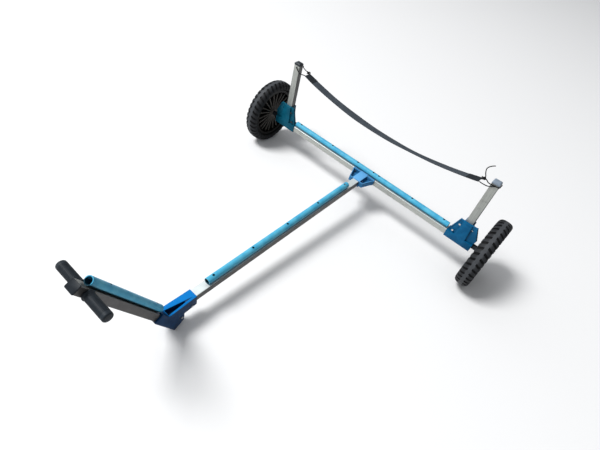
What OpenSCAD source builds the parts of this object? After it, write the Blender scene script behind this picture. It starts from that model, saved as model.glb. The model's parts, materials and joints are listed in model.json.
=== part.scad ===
// Launching cart for a small sailing dinghy: two wheels, an axle beam with
// uprights and a webbing cradle, and a drawbar that bends up to a T-handle.
// Everything is drawn about the wheels' axle line with the drawbar level, and
// stand() then leans it forward until the elbow's foot rests on the floor.

/* [Frame] */
// Distance between the middles of the two tyres
track = 1546; // [1300:2:1800]
// Distance between the middles of the two uprights
upright_spacing = 1264; // [1000:2:1400]
// Axle line to the bend, along the drawbar
drawbar_len = 1430; // [1150:5:1750]
// Handle beam, from the bend to its end
handle_len = 545; // [400:5:700]
// Slope of the handle beam above the drawbar, in degrees
handle_angle = 60; // [45:1:70]
// Top of the upright tubes above the axle line
upright_top = 380; // [300:5:480]

/* [Aluminium tube] */
// Width of the rectangular tube
tube_w = 40; // [36:0.5:44]
// Depth of the rectangular tube
tube_h = 34; // [31:0.5:38]
// Wall of the tube
tube_wall = 2.5; // [1.5:0.25:3]
// Outer corner radius of the tube
tube_corner = 3; // [2:0.5:4]
// Middle of the axle beam below the axle line
beam_drop = 6; // [5:0.5:7]

/* [Hull rail pipes] */
// Outer diameter of the plastic pipe
pipe_d = 32; // [26:0.5:38]
// Wall of the pipe
pipe_wall = 3; // [2:0.25:4]
// Distance from the axle pipe's end to the middle of the upright
axle_pipe_gap = 82; // [82:2:180]
// Distance from the axle line to the drawbar pipe
drawbar_pipe_start = 200; // [190:5:230]
// Distance from the drawbar pipe's other end to the bend
drawbar_pipe_gap = 230; // [200:5:400]
// Distance from the handle beam's end to its pipe
handle_pipe_inset = 32; // [24:1:60]
// Head diameter of the pipe screws
screw_head_d = 9; // [7:0.5:11]

/* [Wheels] */
// Diameter over the tread
tyre_d = 400; // [384:2:430]
// Width of the tyre
tyre_w = 78; // [64:1:86]
// Diameter of the rim's outer edge
rim_d = 306; // [276:2:316]
// Width of the rim's barrel
rim_w = 56; // [46:1:60]
// Length of the hub
hub_len = 56; // [50:1:60]
// Outer diameter of the hub
hub_d = 50; // [40:1:60]
// Pairs of ribs on each face of the rim
rib_pairs = 11; // [7:1:13]
// Stub axle diameter
axle_d = 14; // [12:0.5:14]
// Outer diameter of the hub bushes
bush_d = 20; // [18:0.5:24]
// Play between the axle and a bush, on the radius
axle_play = 0.05; // [0.02:0.01:0.1]

/* [Brackets] */
// Wall of the moulded brackets round a tube
bracket_wall = 4; // [3:0.5:5]
// Gap between a tube and its socket, each side
socket_gap = 0.3; // [0.2:0.05:0.5]
// Clamp bolt diameter
bolt_d = 6; // [5:0.5:6]
// Spare tie-down hole in each corner bracket
tie_hole_d = 9; // [7:0.5:10]
// Cord hole near the top of each upright
cord_hole_d = 8; // [7:0.5:9]

/* [Handle] */
// Length over both grips
grip_span = 250; // [200:2:340]
// Grip diameter
grip_d = 37; // [32:0.5:42]
// Crossbar diameter inside the grips
crossbar_d = 25; // [20:0.5:27]
// Crossbar centre to the end of the handle beam
crossbar_inset = 48; // [40:1:60]

/* [Cradle strap] */
// Width of the webbing
strap_w = 50; // [30:1:60]
// Thickness of the webbing
strap_t = 3; // [2:0.5:4]
// Sag in the middle of the webbing
strap_sag = 76; // [40:2:120]

/* [Hidden] */
$fn = 64;
fit = 0.1;                       // clearance between parts that are pressed or glued together
deep = 400;                      // length of a cutter that goes right through

// Middles and faces of the level frame, from the axle line
beam_z = -beam_drop;
beam_top = beam_z + tube_h / 2;
beam_front = -tube_w / 2;
pipe_z = beam_top + pipe_d / 2;
axle_pipe_len = upright_spacing - 2 * axle_pipe_gap;
drawbar_pipe_len = drawbar_len - drawbar_pipe_start - drawbar_pipe_gap;
upright_x = upright_spacing / 2;
upright_y = 9;                   // the uprights stand a little behind the axle line
wheel_x = track / 2;
socket_w = tube_w + 2 * socket_gap;
socket_h = tube_h + 2 * socket_gap;
inner_w = tube_w - 2 * tube_wall - 2 * fit;
inner_h = tube_h - 2 * tube_wall - 2 * fit;
clamp_d = bolt_d + 0.4;
head_d = 1.8 * bolt_d;
head_h = 0.6 * bolt_d;
screw_hole_d = 4.6;              // pipe screw's hole in the tube and in the pipe's underside
screw_d = 4.2;
screw_head_h = 3;
screw_lift = 0.9;                // keeps the flat head off the pipe's curved inside
screw_grip = 5;                  // screw below the pipe
seat_gap = 0.2;                  // between neighbours that only meet
plug_corner = 1;                 // corner radius of what fits inside a tube

// Corner bracket: its outline in the plane of the uprights
corner_in = upright_x - 77;      // inner end, where the axle beam enters
corner_out = upright_x + 75;     // outer end, towards the wheel
corner_top = 118;                // top of the upright's socket
corner_low = beam_z - tube_h / 2 - bracket_wall;
web_t = 8;                       // thickness of the bracket's flat web
web_y = -15;                     // front of that web
beam_end = corner_out - bracket_wall - 1;
corner_bolt_at = [[upright_x - 34, 88], [upright_x - 50, 32]];
tie_hole_at = [upright_x + 35, 88];

// Wheel, washers and axle along the axle line
hub_in = wheel_x - hub_len / 2;
hub_out = wheel_x + hub_len / 2;
washer_t = 2;
cap_len = 9;
axle_in = corner_out - 78;
axle_out = hub_out + washer_t + cap_len - 3;
side_play = 0.4;

// Elbow: the bend and the lowest corner of its foot
bend = [-drawbar_len, beam_z];
along = [-cos(handle_angle), sin(handle_angle)];
inner = [sin(handle_angle), cos(handle_angle)];
function at_handle(a, t) = bend + a * along + t * inner;
elbow_reach = 158;               // drawbar side of the bracket, from the bend
elbow_rise = 60;                 // handle side of the bracket, from the bend
foot_len = 114;                  // foot, from the bend
foot_depth = 38;                 // foot, on the inner side of the handle's line
elbow_back = tube_h / 2 + bracket_wall;
elbow_side = 46;                 // width at the drawbar end
elbow_wide = 55;                 // width at the handle end
drawbar_end = 112;               // end of the drawbar, from the bend
handle_tail = 70;                // lower end of the handle beam, from the bend
elbow_bolt_at = [bend + [132, -tube_h / 2 - 8], bend + [78, -tube_h / 2 - 36]];

// Lean of the whole cart: the foot's corner comes down to the floor
foot_tip = at_handle(-foot_len, -elbow_back);
lean = asin(tyre_d / 2 / norm(foot_tip)) - atan2(-foot_tip[1], -foot_tip[0]);
cap_flange = 4;
cap_tip = at_handle(handle_len + cap_flange, -tube_h / 2 - 1);
reach = -(cap_tip[0] * cos(lean) - cap_tip[1] * sin(lean));
axle_y = (reach - tyre_d / 2) / 2;

// Cradle strap and its lashings, from the axle line
strap_half = upright_x - 72;
strap_y = 9;
strap_end_z = 352;
strap_steps = 32;
strap_roll = 13;                 // how far the webbing rolls over towards the front, in degrees
strap_roll_at = 0.4;             // where it rolls most, from the middle (0) to the right end (1)
cord_d = 5;
cord_sides = 8;
knot_d = 16;
tail_points = [
    [571, 30, 366], [568, 30, 373], [564, 30, 380], [560, 30, 388], [557, 30, 396],
    [555, 30, 405], [556, 30, 413], [559, 30, 420], [564, 30, 427], [570, 30, 433], [576, 30, 438],
    [582, 30, 442]
];
lash_right = [
    [562, 25, 357], [572, 27, 360], [582, 20, 363], [593, 5, 366], [603, -7, 370], [611, -12, 373],
    [630, -12, 375], [648, -12, 376], [653.6, -9.6, 376], [655.4, -5, 376], [655.4, 9, 376],
    [655.4, 23, 375], [653.6, 27.6, 375], [648, 29.5, 374], [637, 30, 371], [632, 28, 370],
    [632, 9, 370], [632, -10, 370], [628, -12.5, 368], [614, -12, 360], [603, -11.5, 355],
    [590, -11, 353], [576, -10, 352], [562, -8, 352]
];
lash_left = [
    [-562, -8, 352], [-575, -10, 350], [-588, -11.5, 348], [-600, -12, 348], [-609, -12, 352],
    [-620, -12, 361], [-628, -12.5, 368], [-632, -10, 370], [-632, 9, 370], [-632, 28, 370],
    [-627, 30, 372], [-615, 29.6, 375], [-610.4, 27.6, 375], [-606, 22, 373], [-596, 24, 366],
    [-584, 27, 360], [-572, 27, 358], [-562, 25, 357]
];
knot_at = [[570, 27, 359], [-570, 27, 358]];

// ---------------------------------------------------------------- helpers
module stand() {
    translate([0, axle_y, tyre_d / 2]) rotate([lean, 0, 0]) children();
}

// Side profile in the (y, z) plane, extruded across the cart between two x values
module across(x0, x1) {
    translate([x0, 0, 0]) rotate([90, 0, 90]) linear_extrude(x1 - x0) children();
}

// Profile in the (x, z) plane, extruded along y
module along_y(y0, y1) {
    translate([0, y1, 0]) rotate([90, 0, 0]) linear_extrude(y1 - y0) children();
}

module round_rect(w, h, r) {
    square([w - 2 * r, h], center = true);
    square([w, h - 2 * r], center = true);
    for (x = [-1, 1], y = [-1, 1])
        translate([x * (w / 2 - r), y * (h / 2 - r)]) circle(r, $fn = 32);
}

// Rectangular tube along +Z, its wide side along x
module tube(len, w = tube_w, h = tube_h) {
    linear_extrude(len) difference() {
        round_rect(w, h, tube_corner);
        round_rect(w - 2 * tube_wall, h - 2 * tube_wall, max(tube_corner - tube_wall, 0.5));
    }
}

module bar(w, h, len) {
    translate([-w / 2, -h / 2, 0]) cube([w, h, len]);
}

// Frames along the drawbar, the handle beam and an upright
module on_handle(a = 0, t = 0) {
    translate([0, at_handle(a, t)[0], at_handle(a, t)[1]]) rotate([90 - handle_angle, 0, 0]) children();
}

module on_drawbar(start) {
    translate([0, -start, beam_z]) rotate([90, 0, 0]) children();
}

module on_upright(z = 0) {
    translate([upright_x, upright_y, z]) children();
}

module left_side() {
    mirror([1, 0, 0]) children();
}

module pipe(len) {
    difference() {
        cylinder(d = pipe_d, h = len);
        translate([0, 0, -1]) cylinder(d = pipe_d - 2 * pipe_wall, h = len + 2);
    }
}

// Wide hole in a pipe's top wall for the screw's head, and a narrow one below it
module pipe_screw_hole() {
    cylinder(d = screw_head_d + 0.6, h = pipe_d, $fn = 32);
    translate([0, 0, -pipe_d]) cylinder(d = screw_hole_d, h = pipe_d, $fn = 24);
}

// Pan head inside the pipe's bottom, its shank through the pipe and the tube wall
module pipe_screw() {
    inside = -pipe_d / 2 + pipe_wall;
    translate([0, 0, inside + screw_lift]) cylinder(d = screw_head_d, h = screw_head_h, $fn = 32);
    translate([0, 0, inside - pipe_wall - screw_grip])
        cylinder(d = screw_d, h = pipe_wall + screw_grip + screw_head_h / 2, $fn = 24);
}

module bolt(len) {
    translate([0, 0, -head_h]) cylinder(d = head_d, h = head_h, $fn = 32);
    cylinder(d = bolt_d, h = len, $fn = 32);
}

module nut() {
    difference() {
        cylinder(d = 1.9 * bolt_d, h = 0.8 * bolt_d, $fn = 6);
        translate([0, 0, -1]) cylinder(d = bolt_d + 0.1, h = 2 * bolt_d, $fn = 32);
    }
}

// Round cord swept along points, with one ring of corners at each
function unit(v) = v / max(norm(v), 0.0001);
function way(p, i) = unit(p[min(i + 1, len(p) - 1)] - p[max(i - 1, 0)]);
function side_of(d, up) = unit(cross(d, up));

module sweep(points, sides, up, radius) {
    n = len(points);
    rings = [for (i = [0:n - 1])
        let (d = way(points, i), s = side_of(d, up), u = cross(s, d))
        for (k = [0:sides - 1])
            points[i] + (s * cos(360 * k / sides) + u * sin(360 * k / sides)) * radius];
    faces = concat(
        [[for (k = [sides - 1:-1:0]) k]],
        [for (i = [0:n - 2], k = [0:sides - 1])
            [i * sides + k, i * sides + (k + 1) % sides, (i + 1) * sides + (k + 1) % sides,
             (i + 1) * sides + k]],
        [[for (k = [0:sides - 1]) (n - 1) * sides + k]]);
    polyhedron(points = rings, faces = faces, convexity = 4);
}

// ---------------------------------------------------------------- axle beam and its hull rail
axle_screw_end = axle_pipe_len / 2 - 35;
axle_screw_x = [-axle_screw_end, -262, -70, 44, 82, 310, axle_screw_end];
drawbar_screw_step = 235;
drawbar_screw_inset = 25;
handle_screw_at = [110, 420];
tee_bolt_x = 56;
tee_bolt_z = beam_z + 4;
tee_len = 84;                    // tee bracket, from the beam's face along the drawbar

module axle_beam() {
    color("silver") stand() difference() {
        translate([-beam_end, 0, beam_z]) rotate([90, 0, 90]) tube(2 * beam_end);
        for (x = axle_screw_x)
            translate([x, 0, beam_z]) cylinder(d = screw_hole_d, h = tube_h, $fn = 24);
        for (x = [-tee_bolt_x, tee_bolt_x])
            translate([x, 0, tee_bolt_z]) rotate([90, 0, 0])
                cylinder(d = clamp_d, h = deep, center = true, $fn = 32);
    }
}

module axle_pipe() {
    color("deepskyblue") stand() difference() {
        translate([-axle_pipe_len / 2, 0, pipe_z]) rotate([0, 90, 0]) pipe(axle_pipe_len);
        for (x = axle_screw_x)
            translate([x, 0, pipe_z]) pipe_screw_hole();
    }
}

module axle_pipe_screws() {
    color("dimgray") stand()
        for (x = axle_screw_x)
            translate([x, 0, pipe_z]) pipe_screw();
}

// ---------------------------------------------------------------- drawbar and its hull rail
function drawbar_screw_y(i) = -(drawbar_pipe_start + drawbar_screw_inset + i * drawbar_screw_step);
drawbar_screws = floor((drawbar_pipe_len - 2 * drawbar_screw_inset) / drawbar_screw_step);
drawbar_start = tube_w / 2 + 2;
tee_bolt_y = -72;

module drawbar() {
    color("silver") stand() difference() {
        on_drawbar(drawbar_start) tube(drawbar_len - drawbar_end - drawbar_start);
        for (i = [0:drawbar_screws])
            translate([0, drawbar_screw_y(i), beam_z]) cylinder(d = screw_hole_d, h = tube_h, $fn = 24);
        translate([0, tee_bolt_y, tee_bolt_z]) rotate([0, 90, 0])
            cylinder(d = clamp_d, h = deep, center = true, $fn = 32);
    }
}

module drawbar_pipe() {
    color("deepskyblue") stand() difference() {
        translate([0, -drawbar_pipe_start, pipe_z]) rotate([90, 0, 0]) pipe(drawbar_pipe_len);
        for (i = [0:drawbar_screws])
            translate([0, drawbar_screw_y(i), pipe_z]) pipe_screw_hole();
    }
}

module drawbar_pipe_screws() {
    color("dimgray") stand()
        for (i = [0:drawbar_screws])
            translate([0, drawbar_screw_y(i), pipe_z]) pipe_screw();
}

// ---------------------------------------------------------------- handle
handle_pipe_from = elbow_rise + 6;
handle_pipe_off = (tube_h + pipe_d) / 2;
handle_pipe_len = handle_len - handle_pipe_inset - handle_pipe_from;
collar_d = 1.15 * grip_d;
collar_t = 7;
crossbar_len = grip_span - 10;

module crossbar_hole() {
    rotate([0, 90, 0]) cylinder(d = crossbar_d + 2 * fit, h = deep, center = true);
}

module handle_beam() {
    color("silver") stand() difference() {
        on_handle(-handle_tail) tube(handle_len + handle_tail);
        for (a = handle_screw_at)
            on_handle(a) rotate([-90, 0, 0]) cylinder(d = screw_hole_d, h = tube_h, $fn = 24);
        on_handle(handle_len - crossbar_inset) crossbar_hole();
    }
}

module handle_pipe() {
    color("deepskyblue") stand() difference() {
        on_handle(handle_pipe_from, handle_pipe_off) pipe(handle_pipe_len);
        for (a = handle_screw_at)
            on_handle(a, handle_pipe_off) rotate([-90, 0, 0]) pipe_screw_hole();
    }
}

module handle_pipe_screws() {
    color("dimgray") stand()
        for (a = handle_screw_at)
            on_handle(a, handle_pipe_off) rotate([-90, 0, 0]) pipe_screw();
}

module handle_end_cap() {
    plug_len = min(crossbar_inset - crossbar_d / 2 - 6, 20);
    color("black") stand() on_handle(handle_len) {
        linear_extrude(cap_flange) round_rect(tube_w + 2, tube_h + 2, tube_corner + 1);
        translate([0, 0, -plug_len]) linear_extrude(plug_len + 0.5) round_rect(inner_w, inner_h, plug_corner);
    }
}

module handle_crossbar() {
    color("gray") stand() on_handle(handle_len - crossbar_inset) rotate([0, 90, 0]) difference() {
        cylinder(d = crossbar_d, h = crossbar_len, center = true);
        cylinder(d = crossbar_d - 4, h = crossbar_len + 2, center = true);
    }
}

// Ribbed rubber grip, closed at its outer end, with a collar against the beam
module grip() {
    len = grip_span / 2 - tube_w / 2 - 0.3;
    bore = crossbar_d / 2 + fit;
    r = grip_d / 2;
    inside = crossbar_len / 2 - tube_w / 2 + 0.2;
    stand() on_handle(handle_len - crossbar_inset) translate([tube_w / 2 + 0.3, 0, 0]) rotate([0, 90, 0])
        rotate_extrude() polygon(concat(
            [[bore, 0], [collar_d / 2 - 2, 0], [collar_d / 2, 2], [collar_d / 2, collar_t - 2],
             [collar_d / 2 - 2, collar_t], [r, collar_t + 1]],
            [for (a = [0:15:90]) [r - 7 + 7 * cos(a), len - 7 + 7 * sin(a)]],
            [[0, len], [0, inside], [bore, inside]]));
}

module grip_right() { color([0.1, 0.11, 0.12]) grip(); }
module grip_left() { color([0.1, 0.11, 0.12]) left_side() grip(); }

// ---------------------------------------------------------------- tee bracket
tee_front = beam_front - tee_len;
tee_half = tube_w / 2 + socket_gap + bracket_wall;
tee_rise = socket_gap + bracket_wall;
tee_back = -sqrt(tee_rise * (pipe_d - tee_rise)) - 1.09; // top laps over the beam as far as its pipe
tee_low = beam_z - 11;           // underside of the wings
tee_floor = beam_z - 3;
tee_rim = beam_top + socket_gap + 1.5;
tee_lip = 5;                     // wall between the beam and the wings' pockets
tee_wing = [[0, tee_back], [74, tee_back], [74, -30], [66, -44], [46, tee_front], [0, tee_front]];
tee_pocket = [[tee_half, beam_front - tee_lip], [69, beam_front - tee_lip], [69, -31], [62, -44],
              [43, tee_front + tee_lip], [tee_half, tee_front + tee_lip]];

module tee_bracket() {
    low = beam_z - tube_h / 2 - socket_gap - bracket_wall;
    high = beam_top + tee_rise;
    color([0.1, 0.42, 0.75]) stand() difference() {
        union() {
            for (m = [0, 1]) mirror([m, 0, 0])
                translate([0, 0, tee_low]) linear_extrude(tee_rim - tee_low) polygon(tee_wing);
            translate([-tee_half, tee_front, low]) cube([2 * tee_half, tee_back - tee_front, high - low]);
        }
        translate([-deep / 2, beam_front - socket_gap, low - 1])
            cube([deep, tube_w, beam_top + socket_gap - low + 1]);
        for (m = [0, 1]) mirror([m, 0, 0])
            translate([0, 0, tee_floor]) linear_extrude(deep) polygon(tee_pocket);
        translate([-socket_w / 2, tee_front - 1, beam_z - socket_h / 2])
            cube([socket_w, tee_len + 2, socket_h]);
        for (x = [-tee_bolt_x, tee_bolt_x])
            translate([x, 0, tee_bolt_z]) rotate([90, 0, 0]) cylinder(d = clamp_d, h = deep, $fn = 32);
        translate([0, tee_bolt_y, tee_bolt_z]) rotate([0, 90, 0])
            cylinder(d = clamp_d, h = deep, center = true, $fn = 32);
    }
}

module tee_bolts() {
    color("lightgray") stand() {
        for (x = [-tee_bolt_x, tee_bolt_x])
            translate([x, beam_front - tee_lip, tee_bolt_z]) rotate([-90, 0, 0])
                bolt(tee_lip + tube_w + bolt_d);
        translate([tee_half, tee_bolt_y, tee_bolt_z]) rotate([0, -90, 0]) bolt(2 * tee_half + bolt_d);
    }
}

module tee_nuts() {
    color("lightgray") stand() {
        for (x = [-tee_bolt_x, tee_bolt_x])
            translate([x, tube_w / 2, tee_bolt_z]) rotate([-90, 0, 0]) nut();
        translate([-tee_half, tee_bolt_y, tee_bolt_z]) rotate([0, -90, 0]) nut();
    }
}

// ---------------------------------------------------------------- elbow bracket
elbow_top = beam_top + socket_gap + bracket_wall - 1;
elbow_low = beam_z - tube_h / 2 - 19;
bend_reach = bend[0] + elbow_reach;
foot_in = at_handle(-foot_len, foot_depth);
elbow_inner = elbow_back + 3;
crook_rise = elbow_top - beam_z;
crook = bend + [elbow_inner / sin(handle_angle) - crook_rise / tan(handle_angle), crook_rise];
elbow_profile = [
    [bend_reach, elbow_top], [bend_reach, elbow_low], [foot_in[0] + 2, elbow_low - 2], foot_in,
    at_handle(-foot_len, -elbow_back), at_handle(elbow_rise, -elbow_back),
    at_handle(elbow_rise, elbow_inner), crook
];
// Pocket moulded in the top: a long triangle in plan, deeper towards the bend
pocket_plan = [[13, bend_reach - 14], [-10, crook[0] + 3], [20, crook[0] + 3]];
pocket_cut = [
    [bend_reach - 8, elbow_top + 1], [bend_reach - 20, beam_top + 1.2],
    [bend[0] + drawbar_end - 5, beam_top + 1.2], [bend[0] + drawbar_end - 12, beam_z - 10],
    [crook[0] - 4, beam_z - 10], [crook[0] - 4, elbow_top + 1]
];

module elbow_bracket() {
    color([0.05, 0.35, 0.7]) stand() difference() {
        intersection() {
            across(-elbow_wide / 2, elbow_wide / 2) polygon(elbow_profile);
            translate([0, 0, -deep]) linear_extrude(2 * deep) polygon([
                [-elbow_side / 2, bend_reach], [-elbow_wide / 2, crook[0] - 10],
                [-elbow_wide / 2, bend[0] - deep], [elbow_wide / 2, bend[0] - deep],
                [elbow_wide / 2, crook[0] - 10], [elbow_side / 2, bend_reach]
            ]);
        }
        on_drawbar(drawbar_len - elbow_reach - 1) bar(socket_w, socket_h, elbow_reach - drawbar_end + 3);
        on_handle(-handle_tail - 2) bar(socket_w, socket_h, handle_tail + elbow_rise + 5);
        on_handle(elbow_rise - 24, handle_pipe_off) cylinder(d = pipe_d + 2, h = 60);
        intersection() {
            translate([0, 0, -deep]) linear_extrude(2 * deep) polygon(pocket_plan);
            across(-elbow_wide, elbow_wide) polygon(pocket_cut);
        }
        for (p = elbow_bolt_at)
            translate([0, p[0], p[1]]) rotate([0, 90, 0])
                cylinder(d = clamp_d, h = deep, center = true, $fn = 32);
    }
}

function elbow_half(y) = elbow_side / 2 + (elbow_wide - elbow_side) / 2
    * min(1, (bend_reach - y) / (bend_reach - crook[0] + 10));

module elbow_bolts() {
    color("lightgray") stand()
        for (p = elbow_bolt_at) {
            half = elbow_half(p[0] - head_d);
            translate([half + seat_gap, p[0], p[1]]) rotate([0, -90, 0]) bolt(2 * half + bolt_d);
        }
}

module elbow_nuts() {
    color("lightgray") stand()
        for (p = elbow_bolt_at)
            translate([-elbow_half(p[0] - head_d) - seat_gap, p[0], p[1]]) rotate([0, -90, 0]) nut();
}

// ---------------------------------------------------------------- corner brackets
boss_front = beam_front;
boss_back = web_y + web_t + 4;
upright_foot = beam_top + 6;
socket_taper = 8;                // the upright's socket is wider by this at its foot, each side
corner_left_rim = [[upright_x - 45, corner_top - 1], [corner_in + 5, 29]];
corner_right_rim = [[corner_out + 6, 47], [upright_x + 51, corner_top + 1]];

module corner_outline() {
    polygon([
        [corner_in, corner_low], corner_left_rim[1], corner_left_rim[0],
        corner_right_rim[1], corner_right_rim[0], [corner_out, 18], [corner_out, corner_low]
    ]);
}

module edge_rib(p, q, t) {
    d = unit(q - p);
    n = [-d[1], d[0]];
    polygon([p, q, q + n * t, p + n * t]);
}

module corner_bracket() {
    side = tube_w / 2 + socket_gap + bracket_wall;
    back = upright_y + tube_h / 2 + socket_gap + bracket_wall;
    high = beam_top + socket_gap + bracket_wall;
    stand() difference() {
        union() {
            along_y(web_y, web_y + web_t) corner_outline();
            along_y(web_y - 3, web_y + web_t + 4) intersection() {
                corner_outline();
                union() {
                    edge_rib(corner_left_rim[0], corner_left_rim[1], bracket_wall);
                    edge_rib(corner_right_rim[0], corner_right_rim[1], bracket_wall);
                }
            }
            translate([corner_in, -side, corner_low])
                cube([corner_out - corner_in, 2 * side, high - corner_low]);
            along_y(-side, back) polygon([
                [upright_x - side - socket_taper, beam_z], [upright_x + side + socket_taper, beam_z],
                [upright_x + side, corner_top], [upright_x - side, corner_top]
            ]);
            for (p = corner_bolt_at)
                translate([p[0], boss_back, p[1]]) rotate([90, 0, 0])
                    cylinder(d = head_d + 4, h = boss_back - boss_front);
        }
        translate([corner_in - 1, -socket_w / 2, beam_z - socket_h / 2])
            cube([beam_end - corner_in + 2, socket_w, socket_h]);
        translate([upright_x - socket_w / 2, upright_y - socket_h / 2, upright_foot - 0.5])
            cube([socket_w, socket_h, deep]);
        for (p = corner_bolt_at)
            translate([p[0], 0, p[1]]) rotate([90, 0, 0])
                cylinder(d = clamp_d, h = deep, center = true, $fn = 32);
        translate([tie_hole_at[0], 0, tie_hole_at[1]]) rotate([90, 0, 0])
            cylinder(d = tie_hole_d, h = deep, center = true);
        translate([beam_end, 0, 0]) rotate([0, 90, 0]) cylinder(d = axle_d + 0.6, h = 60);
    }
}

module corner_bracket_right() { color([0.0, 0.38, 0.65]) corner_bracket(); }
module corner_bracket_left() { color([0.0, 0.38, 0.5]) left_side() corner_bracket(); }

module corner_bolts() {
    stand()
        for (p = corner_bolt_at)
            translate([p[0], boss_front, p[1]]) rotate([-90, 0, 0]) bolt(boss_back - boss_front + bolt_d);
}

module corner_nuts() {
    stand()
        for (p = corner_bolt_at)
            translate([p[0], boss_back, p[1]]) rotate([-90, 0, 0]) nut();
}

module corner_bolts_right() { color("lightgray") corner_bolts(); }
module corner_bolts_left() { color("lightgray") left_side() corner_bolts(); }
module corner_nuts_right() { color("lightgray") corner_nuts(); }
module corner_nuts_left() { color("lightgray") left_side() corner_nuts(); }

// ---------------------------------------------------------------- uprights
module upright() {
    stand() difference() {
        on_upright(upright_foot) tube(upright_top - upright_foot);
        on_upright(upright_top - 10) rotate([90, 0, 0])
            cylinder(d = cord_hole_d, h = deep, center = true, $fn = 32);
    }
}

cap_rise = 17;
cap_round = 13;
cap_lip = 1;                     // the cap stands out past the tube by this, each side
cap_plug = 5;                    // part of the cap inside the tube

// Outline of a cap with rounded shoulders. Two of these crossing make its dome
module crown(w) {
    square([w, cap_rise - cap_round]);
    translate([cap_round, 0]) square([w - 2 * cap_round, cap_rise]);
    for (x = [cap_round, w - cap_round])
        translate([x, cap_rise - cap_round]) circle(cap_round);
}

module upright_cap() {
    w = tube_w + 2 * cap_lip;
    h = tube_h + 2 * cap_lip;
    stand() on_upright(upright_top) {
        intersection() {
            translate([-w / 2, 0, 0]) along_y(-h, h) crown(w);
            translate([0, -h / 2, 0]) across(-w, w) crown(h);
            linear_extrude(cap_rise) round_rect(w, h, tube_corner + cap_lip);
        }
        translate([0, 0, -cap_plug]) linear_extrude(cap_plug + 0.5)
            round_rect(inner_w, inner_h, plug_corner);
    }
}

module upright_right() { color("silver") upright(); }
module upright_left() { color("silver") left_side() upright(); }
module upright_cap_right() { color("dimgray") upright_cap(); }
module upright_cap_left() { color("dimgray") left_side() upright_cap(); }

// ---------------------------------------------------------------- axle parts
pin_x = beam_end - 22;           // cross pin that holds the axle in its plug
pin_d = 4;
plug_in = axle_in + 8;           // the axle stands out of its plug by this at the inner end
axle_hole_d = axle_d + 0.4;      // hole of the spacer and the washer
pin_low = beam_z - tube_h / 2 + tube_wall + 1;
pin_high = beam_top - tube_wall - 1;

module pin_hole() {
    translate([pin_x, 0, -deep / 2]) cylinder(d = pin_d + fit, h = deep, $fn = 24);
}

module axle_plug() {
    stand() difference() {
        translate([plug_in, 0, beam_z]) rotate([90, 0, 90])
            linear_extrude(beam_end - plug_in) round_rect(inner_w, inner_h, plug_corner);
        translate([axle_in, 0, 0]) rotate([0, 90, 0]) cylinder(d = axle_d + fit, h = deep);
        pin_hole();
    }
}

module stub_axle() {
    stand() difference() {
        translate([axle_in, 0, 0]) rotate([0, 90, 0]) cylinder(d = axle_d, h = axle_out - axle_in);
        pin_hole();
    }
}

module axle_pins() {
    color("lightgray") stand()
        for (x = [-pin_x, pin_x])
            translate([x, 0, pin_low]) cylinder(d = pin_d, h = pin_high - pin_low, $fn = 24);
}

module hub_spacer() {
    stand() translate([corner_out + seat_gap, 0, 0]) rotate([0, 90, 0]) difference() {
        cylinder(d = bush_flange, h = hub_in - side_play - corner_out - seat_gap);
        translate([0, 0, -1]) cylinder(d = axle_hole_d, h = deep);
    }
}

module outer_washer() {
    stand() translate([hub_out + side_play, 0, 0]) rotate([0, 90, 0]) difference() {
        cylinder(d = bush_flange + 2, h = washer_t);
        translate([0, 0, -1]) cylinder(d = axle_hole_d, h = deep);
    }
}

module retaining_cap() {
    bore = axle_d / 2 + 0.05;
    rim = axle_d / 2 + 5;
    stand() translate([hub_out + side_play + washer_t + seat_gap, 0, 0]) rotate([0, 90, 0])
        rotate_extrude() polygon([
            [bore, 0], [rim, 0], [rim, 4], [rim - 2, cap_len - 3], [rim - 5, cap_len],
            [0, cap_len], [0, cap_len - 2], [bore, cap_len - 2]
        ]);
}

module axle_plug_right() { color("dimgray") axle_plug(); }
module axle_plug_left() { color("dimgray") left_side() axle_plug(); }
module stub_axle_right() { color("lightgray") stub_axle(); }
module stub_axle_left() { color("lightgray") left_side() stub_axle(); }
module hub_spacer_right() { color("dimgray") hub_spacer(); }
module hub_spacer_left() { color("dimgray") left_side() hub_spacer(); }
module outer_washer_right() { color("lightgray") outer_washer(); }
module outer_washer_left() { color("lightgray") left_side() outer_washer(); }
module retaining_cap_right() { color("black") retaining_cap(); }
module retaining_cap_left() { color("black") left_side() retaining_cap(); }

// ---------------------------------------------------------------- wheels
hub_bore = bush_d + 2 * 0.02;
bush_flange = bush_d + 8;
bush_flange_t = 2;
bush_len = 22;
barrel_t = 5;
rim_web_t = 5;
bead_d = rim_d - 18;             // seat of the tyre's bead between the rim's flanges
rib_w = 5;
rib_foot = 3;                    // half the distance between a pair's ribs at the hub
rib_spread = 9;                  // half angle between the two ribs of a pair, in degrees

module on_wheel() {
    stand() translate([wheel_x, 0, 0]) rotate([0, 90, 0]) children();
}

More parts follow.
